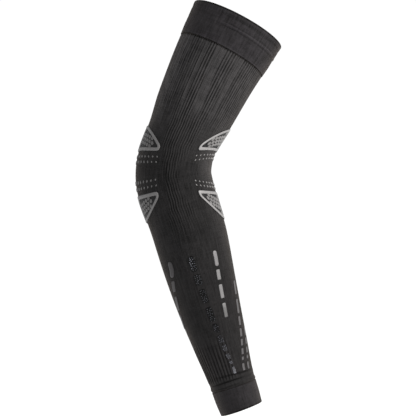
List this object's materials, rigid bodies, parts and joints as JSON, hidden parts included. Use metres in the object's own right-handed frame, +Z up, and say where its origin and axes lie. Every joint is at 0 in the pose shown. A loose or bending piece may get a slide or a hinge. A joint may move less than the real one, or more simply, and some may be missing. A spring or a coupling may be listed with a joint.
{
  "type": "arm compression sleeve",
  "caption": "Knitted tubular sleeve for a slightly bent arm, with a doubled band at each end, grip pads round the elbow and dashed stripes down the forearm.",
  "frame": {"origin": "middle of the arm at the elbow, inside the sleeve", "axes": "+Z up the arm from the wrist to the upper arm, +X to the front where the elbow bends, -Y to the outer side and +Y to the inner side of the arm"},
  "size_m": [0.1461, 0.1055, 0.4154],
  "materials": {
    "body_knit": "black nylon and elastane rib knit, matt with a soft sheen at the edges",
    "band_knit": "doubled black knit, fine wales, matt",
    "grip_print": "grey silicone tiles on a dark base film, semi-gloss",
    "bright_print": "light grey heat-pressed print, satin",
    "dim_print": "mid grey heat-pressed print, satin",
    "dark_print": "dark glossy print with fine light specks"
  },
  "bodies": {
    "root": {"back_lower_grip_pad": "grip_print", "back_upper_grip_pad": "grip_print", "front_dash_10": "dim_print", "front_dash_6": "dim_print", "front_dash_7": "dim_print", "front_dash_8": "dim_print", "front_dash_9": "dim_print", "front_lower_grip_pad": "grip_print", "front_outer_dash_10": "dim_print", "front_outer_dash_3": "dim_print", "front_outer_dash_4": "dim_print", "front_outer_dash_5": "dim_print", "front_outer_dash_6": "dim_print", "front_outer_dash_7": "dim_print", "front_outer_dash_8": "dim_print", "front_outer_dash_9": "dim_print", "front_upper_grip_pad": "grip_print", "inner_back_dash_1": "dim_print", "inner_back_dash_2": "dim_print", "inner_back_dash_3": "dim_print", "inner_back_dash_4": "dim_print", "inner_front_dash_1": "bright_print", "inner_front_dash_2": "bright_print", "inner_front_dash_3": "bright_print", "inner_front_dash_4": "bright_print", "inner_middle_dash_1": "dark_print", "inner_middle_dash_10": "dark_print", "inner_middle_dash_2": "dark_print", "inner_middle_dash_3": "dark_print", "inner_middle_dash_4": "dark_print", "inner_middle_dash_5": "dark_print", "inner_middle_dash_6": "dark_print", "inner_middle_dash_7": "dark_print", "inner_middle_dash_8": "dark_print", "inner_middle_dash_9": "dark_print", "outer_back_dash_1": "dim_print", "outer_back_dash_2": "dim_print", "outer_back_dash_3": "dim_print", "outer_back_dash_4": "dim_print", "outer_front_dash_1": "bright_print", "outer_front_dash_2": "bright_print", "outer_front_dash_3": "bright_print", "outer_front_dash_4": "bright_print", "outer_middle_dash_1": "dark_print", "outer_middle_dash_10": "dark_print", "outer_middle_dash_2": "dark_print", "outer_middle_dash_3": "dark_print", "outer_middle_dash_4": "dark_print", "outer_middle_dash_5": "dark_print", "outer_middle_dash_6": "dark_print", "outer_middle_dash_7": "dark_print", "outer_middle_dash_8": "dark_print", "outer_middle_dash_9": "dark_print", "sleeve_body": "body_knit", "upper_band": "band_knit", "wrist_band": "band_knit"}
  },
  "joints": []
}
